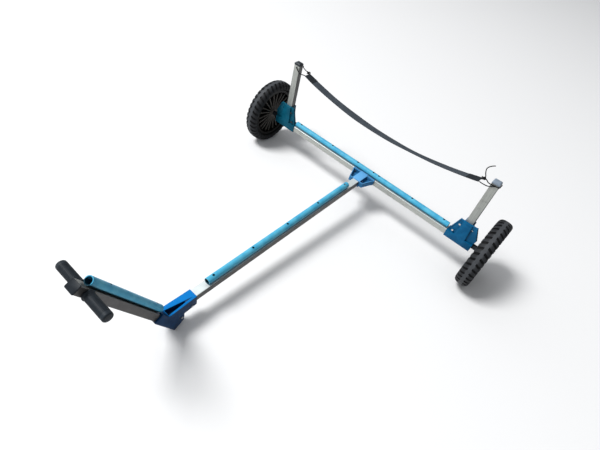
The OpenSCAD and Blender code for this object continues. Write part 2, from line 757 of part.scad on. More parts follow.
module rim() {
    r_in = bead_d / 2 - barrel_t;
    rib_in = hub_d / 2 - 3;
    rib_out = r_in + 1;
    on_wheel() difference() {
        union() {
            rotate_extrude() polygon([
                [hub_bore / 2 - 1, -hub_len / 2 + bush_flange_t], [hub_d / 2, -hub_len / 2 + bush_flange_t],
                [hub_d / 2 + 2, -rim_web_t / 2], [r_in, -rim_web_t / 2], [r_in, -rim_w / 2 + 2],
                [rim_d / 2, -rim_w / 2], [rim_d / 2, -rim_w / 2 + 4], [bead_d / 2, -rim_w / 2 + 7],
                [bead_d / 2, rim_w / 2 - 7], [rim_d / 2, rim_w / 2 - 4], [rim_d / 2, rim_w / 2],
                [r_in, rim_w / 2 - 2], [r_in, rim_web_t / 2], [hub_d / 2 + 2, rim_web_t / 2],
                [hub_d / 2, hub_len / 2 - bush_flange_t], [hub_bore / 2 - 1, hub_len / 2 - bush_flange_t]
            ]);
            for (i = [0:rib_pairs - 1], s = [-1, 1])
                rotate([0, 0, 360 * i / rib_pairs]) linear_extrude(rim_w - 14, center = true) polygon([
                    [rib_in, -rib_w / 2 + s * rib_foot], [rib_in, rib_w / 2 + s * rib_foot],
                    [rib_out * cos(rib_spread), rib_out * sin(s * rib_spread) + rib_w / 2],
                    [rib_out * cos(rib_spread), rib_out * sin(s * rib_spread) - rib_w / 2]
                ]);
        }
        cylinder(d = hub_bore, h = 2 * hub_len, center = true);
    }
}

module hub_bushes() {
    on_wheel() for (m = [0, 1]) mirror([0, 0, m])
        translate([0, 0, hub_len / 2 - bush_len]) difference() {
            union() {
                cylinder(d = bush_d, h = bush_len);
                translate([0, 0, bush_len - bush_flange_t]) cylinder(d = bush_flange, h = bush_flange_t);
            }
            translate([0, 0, -1]) cylinder(d = axle_d + 2 * axle_play, h = bush_len + 2);
        }
}

// Tyre: a squared carcass, open towards the rim, with a bead on each side
side_rise = 0.3 * (tyre_d - rim_d);
function squared(v) = sign(v) * pow(abs(v), 0.77);
function carcass(a, up, out) = [tyre_d / 2 - side_rise + up * squared(sin(a)), -out * squared(cos(a))];

module tyre() {
    seat = bead_d / 2 + seat_gap;
    lip = rim_d / 2 + 1;
    toe = rim_w / 2 - 7.5;
    tread_t = 8;
    wall_t = 6;
    on_wheel() rotate_extrude($fn = 96) polygon(concat(
        [[seat, -toe], [lip, -toe]],
        [for (a = [-30:15:210]) carcass(a, side_rise, tyre_w / 2)],
        [[lip, toe], [seat, toe], [seat, toe - wall_t], [lip + wall_t, toe - 2]],
        [for (a = [200:-20:-20]) carcass(a, side_rise - tread_t, tyre_w / 2 - wall_t)],
        [[lip + wall_t, 2 - toe], [seat, wall_t - toe]]));
}

module rim_right() { color([0.13, 0.13, 0.13]) rim(); }
module rim_left() { color([0.13, 0.13, 0.13]) left_side() rim(); }
module tyre_right() { color([0.06, 0.06, 0.07]) tyre(); }
module tyre_left() { color([0.06, 0.06, 0.07]) left_side() tyre(); }
module hub_bushes_right() { color("gray") hub_bushes(); }
module hub_bushes_left() { color("gray") left_side() hub_bushes(); }

// ---------------------------------------------------------------- cradle strap and cords
strap_points = [for (i = [0:strap_steps])
    let (x = strap_half * (2 * i / strap_steps - 1))
    [x, strap_y, strap_end_z - strap_sag * (1 - pow(x / strap_half, 2))]];

module cradle_strap() {
    color([0.25, 0.29, 0.33]) stand()
        band(strap_points, strap_w / 2, strap_t / 2);
}

function roll_of(share) = strap_roll * pow(max(0, cos(120 * (share - strap_roll_at))), 2);

// Flat band across the cart: four corners at each point
module band(points, half_w, half_t) {
    n = len(points);
    rings = [for (i = [0:n - 1])
        let (d = way(points, i), u = [-d[2], 0, d[0]], roll = roll_of(points[i][0] / strap_half),
            side = [0, cos(roll), 0] - u * sin(roll), face = u * cos(roll) + [0, sin(roll), 0])
        for (c = [[-1, -1], [1, -1], [1, 1], [-1, 1]])
            points[i] + side * c[0] * half_w + face * c[1] * half_t];
    faces = concat(
        [[0, 1, 2, 3]],
        [for (i = [0:n - 2], k = [0:3])
            [i * 4 + (k + 1) % 4, i * 4 + k, (i + 1) * 4 + k, (i + 1) * 4 + (k + 1) % 4]],
        [[for (k = [3:-1:0]) (n - 1) * 4 + k]]);
    polyhedron(points = rings, faces = faces, convexity = 4);
}

module cord(points) {
    sweep(points, cord_sides, [0.3, 0.2, 1], cord_d / 2);
}

module lashing_right() { color([0.08, 0.08, 0.08]) stand() cord(lash_right); }
module lashing_left() { color([0.08, 0.08, 0.08]) stand() cord(lash_left); }
module cord_tail() { color([0.08, 0.08, 0.08]) stand() cord(tail_points); }

module lashing_knots() {
    color([0.08, 0.08, 0.08]) stand()
        for (k = knot_at)
            translate([k[0], k[1], k[2]]) sphere(d = knot_d, $fn = 24);
}

axle_beam();
axle_pipe();
axle_pipe_screws();
drawbar();
drawbar_pipe();
drawbar_pipe_screws();
handle_beam();
handle_pipe();
handle_pipe_screws();
handle_end_cap();
handle_crossbar();
grip_left();
grip_right();
tee_bracket();
tee_bolts();
tee_nuts();
elbow_bracket();
elbow_bolts();
elbow_nuts();
corner_bracket_left();
corner_bracket_right();
corner_bolts_left();
corner_bolts_right();
corner_nuts_left();
corner_nuts_right();
upright_left();
upright_right();
upright_cap_left();
upright_cap_right();
axle_plug_left();
axle_plug_right();
stub_axle_left();
stub_axle_right();
axle_pins();
hub_spacer_left();
hub_spacer_right();
tyre_left();
tyre_right();
rim_left();
rim_right();
hub_bushes_left();
hub_bushes_right();
outer_washer_left();
outer_washer_right();
retaining_cap_left();
retaining_cap_right();
cradle_strap();
lashing_left();
lashing_right();
lashing_knots();
cord_tail();
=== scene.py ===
# %% [markdown]
# # A launching cart for a small sailing dinghy
# The cart is an axle beam on two wheels, a drawbar that runs forward to a bent handle, and two uprights
# that hold a webbing cradle. The frame of tubes, pipes and brackets is already built to size. This script
# puts the cords, the webbing, the lugged tyres, the ribbed grips and every finish round it.

# %% Load the frame
import bpy, json, math
from mathutils import Matrix, Vector


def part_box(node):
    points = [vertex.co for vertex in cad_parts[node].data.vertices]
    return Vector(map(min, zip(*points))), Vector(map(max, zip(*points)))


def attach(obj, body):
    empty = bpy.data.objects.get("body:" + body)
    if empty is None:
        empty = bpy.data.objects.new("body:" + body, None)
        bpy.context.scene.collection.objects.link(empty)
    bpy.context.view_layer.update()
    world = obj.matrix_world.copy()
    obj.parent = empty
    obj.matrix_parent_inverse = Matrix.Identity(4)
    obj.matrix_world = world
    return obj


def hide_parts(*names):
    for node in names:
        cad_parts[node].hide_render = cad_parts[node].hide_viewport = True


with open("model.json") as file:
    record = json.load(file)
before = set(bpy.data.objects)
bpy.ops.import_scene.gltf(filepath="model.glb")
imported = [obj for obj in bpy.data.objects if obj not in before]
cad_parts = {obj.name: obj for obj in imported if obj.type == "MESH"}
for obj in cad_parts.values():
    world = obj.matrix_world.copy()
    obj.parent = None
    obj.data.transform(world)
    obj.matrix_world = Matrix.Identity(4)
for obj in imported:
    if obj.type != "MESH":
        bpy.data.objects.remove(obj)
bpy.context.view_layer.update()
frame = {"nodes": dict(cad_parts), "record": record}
record = frame["record"]
nodes = frame["nodes"]

# %% [markdown]
# ## The cart's own axes
# The cart is drawn level about its axle line, then leans forward until the elbow's foot is on the floor.
# The wheel joint gives the axle's place and a tie-down hole's axis gives the lean, so a point can be
# written in the cart's level axes, in millimetres, and turned into the frame's metres by one matrix.

# %% Level cart axes to the frame
MM = 0.001
axle = Vector(record["behaviour"]["joints"][1]["pos_m"])
hole_axis = Vector(record["mounts"][0]["axis"])
lean = math.atan2(-hole_axis.z, -hole_axis.y)
stand = Matrix.Translation((0, axle.y, axle.z)) @ Matrix.Rotation(lean, 4, "X")
wheel_x = axle.x / MM


def place(x, y, z):
    """A point in the cart's level axes, in millimetres, as a point of the frame, in metres."""
    return stand @ (Vector((x, y, z)) * MM)


print("lean", round(math.degrees(lean), 2), "degrees, axle at", [round(v, 4) for v in axle])

# %% [markdown]
# ## Camera
# The cart is seen from in front of the handle, a little to the right and from well above head height,
# with the camera rolled so that the cart climbs across the picture. A rolled camera is easiest to set
# from its three axes: where it looks from, which way is right and which way is up.

# %% Camera
camera_place = (795, -1943, 1561)
camera_azimuth = math.radians(31.825)
camera_height = math.radians(46.362)
camera_roll = math.radians(14.222)
camera_back = Vector((math.sin(camera_azimuth) * math.cos(camera_height),
                      -math.cos(camera_azimuth) * math.cos(camera_height), math.sin(camera_height)))
level_right = (-camera_back).cross(Vector((0, 0, 1))).normalized()
camera_axes = Matrix((level_right, camera_back.cross(level_right), camera_back)).transposed().to_4x4()
camera = bpy.data.objects.new("camera", bpy.data.cameras.new("camera"))
bpy.context.collection.objects.link(camera)
camera.matrix_world = (Matrix.Translation(place(*camera_place)) @ Matrix.Rotation(lean, 4, "X")
                       @ camera_axes @ Matrix.Rotation(camera_roll, 4, "Z"))
camera.data.sensor_width = 36
camera.data.lens = 26.24
camera.data.shift_x = 0.0166
camera.data.shift_y = 0.0070
bpy.context.scene.camera = camera
print("camera at", [round(v, 3) for v in camera.location])

# %% [markdown]
# ## Helpers for making pieces
# Blender's operators act on whatever is selected, and loading the frame leaves its parts selected, so
# every piece starts from an empty selection. When a piece is done its place is moved into its mesh,
# which leaves the object at the origin like the frame's own parts.

# %% Selection and finishing helpers
def clear_selection():
    """Go to object mode with nothing selected."""
    if bpy.context.object and bpy.context.object.mode != "OBJECT":
        bpy.ops.object.mode_set(mode="OBJECT")
    bpy.ops.object.select_all(action="DESELECT")


def only(piece):
    """Leave just this piece selected and active, in object mode."""
    clear_selection()
    piece.select_set(True)
    bpy.context.view_layer.objects.active = piece


def added(name):
    """Name the primitive just added."""
    piece = bpy.context.object
    piece.name = name
    piece.data.name = name
    return piece


def apply_modifier(piece, kind, **settings):
    """Give the piece a modifier with these settings and apply it at once."""
    only(piece)
    modifier = piece.modifiers.new(kind.title(), kind)
    for key, value in settings.items():
        setattr(modifier, key, value)
    bpy.ops.object.modifier_apply(modifier=modifier.name)


def settle(piece, smooth=40):
    """Put the piece's place into its mesh and shade it smooth up to an angle."""
    only(piece)
    bpy.ops.object.transform_apply(location=True, rotation=True, scale=True)
    bpy.ops.object.shade_smooth_by_angle(angle=math.radians(smooth))
    print(piece.name, len(piece.data.polygons), "faces")


def tidy_shell(piece):
    """Merge doubles closer than a hundredth of a millimetre and point every face outwards."""
    only(piece)
    bpy.ops.object.mode_set(mode="EDIT")
    bpy.ops.mesh.select_all(action="SELECT")
    bpy.ops.mesh.remove_doubles(threshold=0.00001)
    bpy.ops.mesh.normals_make_consistent(inside=False)
    bpy.ops.object.mode_set(mode="OBJECT")


def lathe(name, outline, centre, steps):
    """Spin a closed outline of (x, radius) points, in millimetres, about an axis along X."""
    clear_selection()
    bpy.ops.mesh.primitive_circle_add(vertices=len(outline), radius=1, fill_type="NOTHING")
    piece = added(name)
    for vertex, (x, radius) in zip(piece.data.vertices, outline):
        vertex.co = Vector((x, 0, radius)) * MM
    piece.location = (0, 0, 0)
    bpy.ops.object.mode_set(mode="EDIT")
    bpy.ops.mesh.select_all(action="SELECT")
    bpy.ops.mesh.spin(steps=steps, angle=2 * math.pi, center=(0, 0, 0), axis=(1, 0, 0))
    bpy.ops.object.mode_set(mode="OBJECT")
    tidy_shell(piece)
    piece.location = centre
    return piece


# %% [markdown]
# ## Cords
# A five millimetre braided cord ties each end of the webbing to its upright. It leaves a knot at the
# webbing's back corner, goes round the upright under its cap, back through the drilled hole and returns
# to the front corner. On the right the cord has a spare tail that stands up and curls over. Each is a
# smooth curve through listed points, made a mesh so that its braid can follow the cord. Its
# centreline and length are worked out from the same curve.

# %% Cord routes
CORD = 5
KNOT_SIZE = 3.4
tail_points = [
    (571, 30, 366), (568, 30, 373), (564, 30, 380), (560, 30, 388), (557, 30, 396),
    (555, 30, 405), (556, 30, 413), (559, 30, 420), (564, 30, 427), (570, 30, 433), (576, 30, 438),
    (582, 30, 442)
]
lash_right = [
    (562, 25, 357), (572, 27, 360), (582, 20, 363), (593, 5, 366), (603, -7, 370), (611, -12, 373),
    (630, -12, 375), (648, -12, 376), (653.6, -9.6, 376), (655.4, -5, 376), (655.4, 9, 376),
    (655.4, 23, 375), (653.6, 27.6, 375), (648, 29.5, 374), (637, 30, 371), (632, 28, 370),
    (632, 9, 370), (632, -10, 370), (628, -12.5, 368), (614, -12, 360), (603, -11.5, 355),
    (590, -11, 353), (576, -10, 352), (562, -8, 352)
]
lash_left = [
    (-562, -8, 352), (-575, -10, 350), (-588, -11.5, 348), (-600, -12, 348), (-609, -12, 352),
    (-620, -12, 361), (-628, -12.5, 368), (-632, -10, 370), (-632, 9, 370), (-632, 28, 370),
    (-627, 30, 372), (-615, 29.6, 375), (-610.4, 27.6, 375), (-606, 22, 373), (-596, 24, 366),
    (-584, 27, 360), (-572, 27, 358), (-562, 25, 357)
]
knot_right_at = (566, 26, 358)
knot_left_at = (-566, 26, 357)


def cord_curve(name, points, diameter, closed=False, steps=6):
    """A round cord through these frame points, as a mesh with its own UV map, and its centreline."""
    curve = bpy.data.curves.new(name, "CURVE")
    curve.dimensions = "3D"
    spline = curve.splines.new("BEZIER")
    spline.bezier_points.add(len(points) - 1)
    for knot, point in zip(spline.bezier_points, points):
        knot.co = point
        knot.handle_left_type = knot.handle_right_type = "AUTO"
    spline.use_cyclic_u = closed
    curve.resolution_u = steps
    curve.bevel_depth = diameter / 2
    curve.bevel_resolution = 3
    curve.use_fill_caps = not closed
    piece = bpy.data.objects.new(name, curve)
    bpy.context.collection.objects.link(piece)
    bpy.context.view_layer.update()
    line = []
    for a, b in zip(spline.bezier_points[:-1], spline.bezier_points[1:]):
        stretch = [a.co.copy()]
        for i in range(1, steps + 1):
            t = i / steps
            stretch.append((1 - t) ** 3 * a.co + 3 * (1 - t) ** 2 * t * a.handle_right
                           + 3 * (1 - t) * t ** 2 * b.handle_left + t ** 3 * b.co)
        line += stretch if not line else stretch[1:]
    only(piece)
    bpy.ops.object.convert(target="MESH")
    piece = bpy.context.object
    bpy.ops.object.shade_smooth()
    length = sum((b - a).length for a, b in zip(line[:-1], line[1:]))
    print(name, "length", round(length, 4), "m")
    return piece, [tuple(p) for p in line], length


def knot(name, centre, size):
    """A doubled overhand knot: two closed trefoils of cord, one inside the other, pulled tight."""
    turns = 24
    loops = []
    for part, grown, turned in (("_inside", 0.62, 1.0), ("", 1.0, 0.0)):
        points = []
        for i in range(turns):
            t = 2 * math.pi * i / turns
            loop = Vector((math.sin(t) + 2 * math.sin(2 * t), math.cos(t) - 2 * math.cos(2 * t),
                           -1.3 * math.sin(3 * t))) * size * grown
            loop.rotate(Matrix.Rotation(turned, 3, "Z"))
            points.append(place(*(Vector(centre) + loop)))
        loops.append(cord_curve(name + part, points, CORD * MM, closed=True, steps=3)[0])
    only(loops[1])
    loops[0].select_set(True)
    bpy.ops.object.join()
    piece = bpy.context.object
    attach(piece, "frame")
    return piece


knot_right = knot("knot_right", knot_right_at, KNOT_SIZE)
knot_left = knot("knot_left", knot_left_at, KNOT_SIZE)
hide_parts("lashing_knots")
cord_pieces = [knot_right, knot_left]
for name, route, node, far_end, lay, extra in (
        ("cord_tail_loose", tail_points, "cord_tail", "bare", "loose", [knot_right]),
        ("lashing_cord_right", lash_right, "lashing_right", "object", "taut", []),
        ("lashing_cord_left", lash_left, "lashing_left", "object", "taut", [knot_left])):
    points = [place(*p) for p in route]
    piece, line, length = cord_curve(name, points, CORD * MM)
    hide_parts(node)
    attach(piece, "frame")
    cord_pieces.append(piece)

# %% [markdown]
# ## Webbing cradle
# The boat's hull rests on a band of polyester webbing that hangs between the uprights. It could be a
# cloth simulation, but a strap pulled by two cords has a plain sagging curve, so a grid is laid along
# that curve, rolled over a little on its right half, and given its thickness by a Solidify modifier. Each
# end is folded back on itself and sewn, which makes it thicker and darker there.

# %% Webbing
STRAP_HALF = 560
STRAP_Y = 9
STRAP_END_Z = 352
STRAP_SAG = 76
STRAP_ROLL = math.radians(13)
STRAP_ROLL_AT = 0.4
STRAP_WIDTH = 50
STRAP_THICK = 1.8
RIPPLE = 0.5
RIPPLE_STEP = 43
HEM = 62
HEM_THICK = 1.6
HEM_LIFT = 1.7


def strap_point(x, across, lift=0):
    """A point of the webbing: x along the cart, across its width from -1 to 1, lifted off its middle."""
    share = x / STRAP_HALF
    roll = STRAP_ROLL * max(0, math.cos(math.radians(120) * (share - STRAP_ROLL_AT))) ** 2
    slope = 2 * STRAP_SAG * share / STRAP_HALF
    half = STRAP_WIDTH / 2 * (1 - 0.08 * abs(share) ** 24)
    ripple = RIPPLE * math.sin(x / RIPPLE_STEP) * across
    level = STRAP_END_Z - STRAP_SAG * (1 - share ** 2)
    up = Vector((-slope, 0, 1)).normalized()
    side = Vector((0, math.cos(roll), 0)) - up * math.sin(roll)
    face = up * math.cos(roll) + Vector((0, math.sin(roll), 0))
    spot = Vector((x, STRAP_Y, level)) + side * across * half + face * (lift + ripple)
    return place(*spot)


def band(name, start, end, lift, thickness, steps):
    """A stretch of webbing from start to end along the cart."""
    clear_selection()
    bpy.ops.mesh.primitive_grid_add(x_subdivisions=steps, y_subdivisions=8, size=2, calc_uvs=True)
    piece = added(name)
    for vertex in piece.data.vertices:
        x = start + (end - start) * (vertex.co.x + 1) / 2
        vertex.co = strap_point(x, vertex.co.y, lift)
    piece.location = (0, 0, 0)
    apply_modifier(piece, "SOLIDIFY", thickness=thickness * MM, offset=0)
    apply_modifier(piece, "BEVEL", width=0.35 * MM, segments=2, limit_method="ANGLE")
    settle(piece)
    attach(piece, "frame")
    return piece


webbing = band("webbing", -STRAP_HALF, STRAP_HALF, 0, STRAP_THICK, 140)
hem_right = band("webbing_hem_right", STRAP_HALF - HEM, STRAP_HALF - 1, HEM_LIFT, HEM_THICK, 16)
hem_left = band("webbing_hem_left", 1 - STRAP_HALF, HEM - STRAP_HALF, HEM_LIFT, HEM_THICK, 16)
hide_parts("cradle_strap")
strap_line = [tuple(strap_point(STRAP_HALF * i / 40, 0)) for i in range(-40, 41)]


# %% Stitches of the hems
STITCHES = 12
STITCH_ROW = 0.72
STITCH_CROSS = 0.66


def stitches(name, start, end):
    """Two rows of thread and a cross between them, on top of a hem."""
    clear_selection()
    spots = []
    shares = [(i + 0.5) / STITCHES for i in range(STITCHES)]
    for row in (-STITCH_ROW, STITCH_ROW):
        spots += [(start + (end - start) * share, row, 0) for share in shares]
    spots += [(start + (end - start) * share, slant * STITCH_CROSS * (2 * share - 1), slant)
              for share in shares for slant in (-1, 1)]
    made = []
    for x, across, slant in spots:
        bpy.ops.mesh.primitive_cube_add(size=1)
        stitch = bpy.context.object
        stitch.dimensions = (3.4 * MM, 0.8 * MM, 0.6 * MM)
        stitch.rotation_euler = (lean, 0, slant * 0.45)
        stitch.location = strap_point(x, across, HEM_LIFT + 1)
        made.append(stitch)
    bpy.ops.object.select_all(action="DESELECT")
    for stitch in made:
        stitch.select_set(True)
    bpy.context.view_layer.objects.active = made[0]
    bpy.ops.object.join()
    piece = added(name)
    bpy.ops.object.transform_apply(location=True, rotation=True, scale=True)
    apply_modifier(piece, "BEVEL", width=0.25 * MM, segments=2)
    settle(piece)
    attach(piece, "frame")
    return piece


stitch_pieces = [stitches("hem_stitches_right", STRAP_HALF - 56, STRAP_HALF - 8),
                 stitches("hem_stitches_left", 56 - STRAP_HALF, 8 - STRAP_HALF)]

# %% [markdown]
# ## Tyres
# A cart tyre is a squared rubber carcass with a smooth band in the middle of its tread and a row of
# slanting blocks on each shoulder, the two rows half a pitch apart. The carcass is spun at the depth of
# the grooves. Then the faces of the band and of the blocks are selected by their place, extruded and
# set out to the tread's full size, and every shoulder is swept back a little so that the grooves slant.

# %% Tyre section
TYRE_R = 200
TYRE_HALF = 39
RIM_R = 153
SIDE_RISE = 0.6 * (TYRE_R - RIM_R)
BEAD_R = RIM_R - 9 + 0.2
GROOVE = 5.5
GROOVE_IN = 0.35
SQUARE = 0.77
LUGS = 38
STEPS_PER_LUG = 5


def squared(v):
    """Push a sine or cosine outwards, which turns a round section into a squared one."""
    return math.copysign(abs(v) ** SQUARE, v)


def unsquared(v):
    """The sine or cosine that squared() would turn into v."""
    return math.copysign(min(abs(v), 1) ** (1 / SQUARE), v)


def carcass(angle, depth):
    """(x, radius) on the carcass at this angle round its section, this deep below the tread."""
    return (-(TYRE_HALF - GROOVE_IN * depth) * squared(math.cos(angle)),
            TYRE_R - SIDE_RISE + (SIDE_RISE - depth) * squared(math.sin(angle)))


outer_skin = [carcass(math.radians(a), GROOVE) for a in range(-30, 211, 8)]
inner_skin = [(x * 0.84, TYRE_R - SIDE_RISE + (r - TYRE_R + SIDE_RISE) * 0.7)
              for x, r in reversed([carcass(math.radians(a), GROOVE) for a in range(-10, 191, 20)])]
TOE = 20.5
tyre_outline = ([(-TOE, BEAD_R), (-TOE, RIM_R + 1.2)] + outer_skin
                + [(TOE, RIM_R + 1.2), (TOE, BEAD_R), (TOE - 6, BEAD_R), (TOE - 2, RIM_R + 7.2)]
                + inner_skin + [(2 - TOE, RIM_R + 7.2), (6 - TOE, BEAD_R)])
print("tyre outline", len(tyre_outline), "points")


# %% Make the tyres
BAND_HALF = 9.5
BLOCK_EDGE = 36.5
BLOCK_FOOT_R = 168
SWEEP = math.radians(3.4)


def is_block(x, radius, turn):
    """True where the tread stands up: the middle band, and three steps in five on each shoulder."""
    fill = ((abs(x) / (TYRE_HALF - GROOVE_IN * GROOVE)) ** (2 / SQUARE)
            + (abs(radius - TYRE_R + SIDE_RISE) / (SIDE_RISE - GROOVE)) ** (2 / SQUARE))
    if radius < BLOCK_FOOT_R or fill < 0.8:
        return False
    if abs(x) < BAND_HALF:
        return True
    step = int(turn / (2 * math.pi) * LUGS * STEPS_PER_LUG + (STEPS_PER_LUG / 2 if x > 0 else 0))
    return step % STEPS_PER_LUG < 3


def make_tyre(name, side):
    """side is 1 for the right-hand wheel and -1 for the left."""
    tyre = lathe(name, tyre_outline, (0, 0, 0), LUGS * STEPS_PER_LUG)
    only(tyre)
    bpy.ops.object.mode_set(mode="EDIT")
    bpy.ops.mesh.select_mode(type="FACE")
    bpy.ops.mesh.select_all(action="DESELECT")
    bpy.ops.object.mode_set(mode="OBJECT")
    mesh = tyre.data
    for face in mesh.polygons:
        spot = face.center / MM
        radius = math.hypot(spot.y, spot.z)
        turn = math.atan2(spot.y, spot.z) % (2 * math.pi)
        face.select = is_block(spot.x, radius, turn)
    bpy.ops.object.mode_set(mode="EDIT")
    bpy.ops.mesh.extrude_region()
    bpy.ops.mesh.select_mode(type="VERT")
    bpy.ops.object.mode_set(mode="OBJECT")
    for vertex in mesh.vertices:
        if not vertex.select:
            continue
        spot = vertex.co / MM
        radius = math.hypot(spot.y, spot.z)
        angle = math.atan2(unsquared((radius - TYRE_R + SIDE_RISE) / (SIDE_RISE - GROOVE)),
                           unsquared(-spot.x / (TYRE_HALF - GROOVE_IN * GROOVE)))
        x, grown = carcass(angle, 0)
        vertex.co = Vector((x, spot.y * grown / radius, spot.z * grown / radius)) * MM
    for vertex in mesh.vertices:
        away = max(0, abs(vertex.co.x) / MM - BAND_HALF)
        vertex.co = Matrix.Rotation(SWEEP * away / (BLOCK_EDGE - BAND_HALF), 4, "X") @ vertex.co
    tidy_shell(tyre)
    apply_modifier(tyre, "BEVEL", width=0.9 * MM, segments=1, limit_method="ANGLE",
                   angle_limit=math.radians(38))
    tyre.location = (side * wheel_x * MM, axle.y, axle.z)
    settle(tyre, 32)
    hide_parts("tyre_right" if side > 0 else "tyre_left")
    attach(tyre, "wheel_right" if side > 0 else "wheel_left")
    return tyre


tyres = {1: make_tyre("lugged_tyre_right", 1), -1: make_tyre("lugged_tyre_left", -1)}

# %% [markdown]
# ## Grips
# The T-handle's grips are soft rubber sleeves with a collar against the beam and fine rings that stop a
# wet hand slipping. The rings are modelled, not painted: the outline steps in and out once every four
# millimetres, and one spin about the crossbar makes the whole sleeve.

# %% Grips
HANDLE_ANGLE = math.radians(60)
HANDLE_ALONG = Vector((0, -math.cos(HANDLE_ANGLE), math.sin(HANDLE_ANGLE)))
DRAWBAR_LEN = 1430
BEAM_DROP = 6
HANDLE_LEN = 545
CROSSBAR_INSET = 48
BEND = Vector((0, -DRAWBAR_LEN, -BEAM_DROP))
grip_low, grip_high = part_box("grip_right")
crossbar_at = BEND + HANDLE_ALONG * (HANDLE_LEN - CROSSBAR_INSET)
CROSSBAR_BORE = 12.7
GRIP_R = 18.5
COLLAR_R = 21.2
TIP_ROUND = 6
GRIP_START = grip_low[0] / MM
GRIP_END = grip_high[0] / MM
RING_PITCH = 4.2


def grip_outline():
    """The right grip's section as (x, radius): collar, rings, rounded tip and the crossbar's bore."""
    points = [(GRIP_START, CROSSBAR_BORE), (GRIP_START, COLLAR_R - 1.6), (GRIP_START + 1.6, COLLAR_R),
              (GRIP_START + 5, COLLAR_R), (GRIP_START + 6.4, COLLAR_R - 1.2), (GRIP_START + 8, GRIP_R)]
    rings = int((GRIP_END - GRIP_START - 22) / RING_PITCH)
    for i in range(rings):
        x = GRIP_START + 11 + i * RING_PITCH
        points += [(x, GRIP_R), (x + 0.5, GRIP_R - 0.9), (x + 1.3, GRIP_R - 0.9), (x + 1.8, GRIP_R)]
    for a in range(0, 91, 15):
        turn = math.radians(a)
        points.append((GRIP_END - TIP_ROUND + TIP_ROUND * math.sin(turn),
                       GRIP_R - TIP_ROUND + TIP_ROUND * math.cos(turn)))
    return points + [(GRIP_END, 0), (GRIP_END - 4, 0), (GRIP_END - 4, CROSSBAR_BORE)]


grips = []
for name, side in (("ribbed_grip_right", 1), ("ribbed_grip_left", -1)):
    grip = lathe(name, [(side * x, r) for x, r in grip_outline()], place(*crossbar_at), 48)
    settle(grip, 50)
    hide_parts("grip_right" if side > 0 else "grip_left")
    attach(grip, "frame")
    grips.append(grip)

# %% [markdown]
# ## Moulded brackets with softened edges
# The brackets and caps are injection moulded, so no edge on them is sharp. The frame's own mesh has the
# right shape with knife edges. A copy of it is merged and given a narrow bevel, which catches the light
# along every rim, and stands in for the sharp one.

# %% Soften the mouldings
def softened(node, width):
    """A bevelled copy of one of the frame's moulded parts."""
    source = nodes[node]
    piece = bpy.data.objects.new("soft_" + node, source.data.copy())
    bpy.context.collection.objects.link(piece)
    piece.matrix_world = source.matrix_world
    only(piece)
    bpy.ops.object.mode_set(mode="EDIT")
    bpy.ops.mesh.select_all(action="SELECT")
    bpy.ops.mesh.remove_doubles(threshold=0.000005)
    bpy.ops.mesh.dissolve_limited(angle_limit=math.radians(1))
    bpy.ops.object.mode_set(mode="OBJECT")
    apply_modifier(piece, "BEVEL", width=width * MM, segments=2, limit_method="ANGLE",
                   angle_limit=math.radians(40))
    settle(piece, 35)
    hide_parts(node)
    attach(piece, "frame")
    return piece


mouldings = {node: softened(node, width) for node, width in (
    ("tee_bracket", 0.8), ("elbow_bracket", 1.0), ("corner_bracket_left", 1.0),
    ("corner_bracket_right", 1.0), ("handle_end_cap", 1.2), ("upright_cap_left", 1.0),
    ("upright_cap_right", 1.0))}

# %% [markdown]
# ## Shader building
# Finishes are worked out from the place of each point on its piece. Shader maths reads best as plain
# expressions, so a small class wraps a number socket and turns + - * / into Math nodes.

# %% Shader helpers
class Number:
    """A number socket of a material, with arithmetic."""

    def __init__(self, finish, socket):
        self.finish = finish
        self.socket = socket

    def math(self, operation, *others):
        values = {i: other for i, other in enumerate((self,) + others)}
        return self.finish.number("ShaderNodeMath", {"operation": operation}, values)

    def __add__(self, other):
        return self.math("ADD", other)

    def __sub__(self, other):
        return self.math("SUBTRACT", other)

    def __mul__(self, other):
        return self.math("MULTIPLY", other)

    def __truediv__(self, other):
        return self.math("DIVIDE", other)

    def __rsub__(self, other):
        return (self * -1) + other

    __radd__ = __add__
    __rmul__ = __mul__


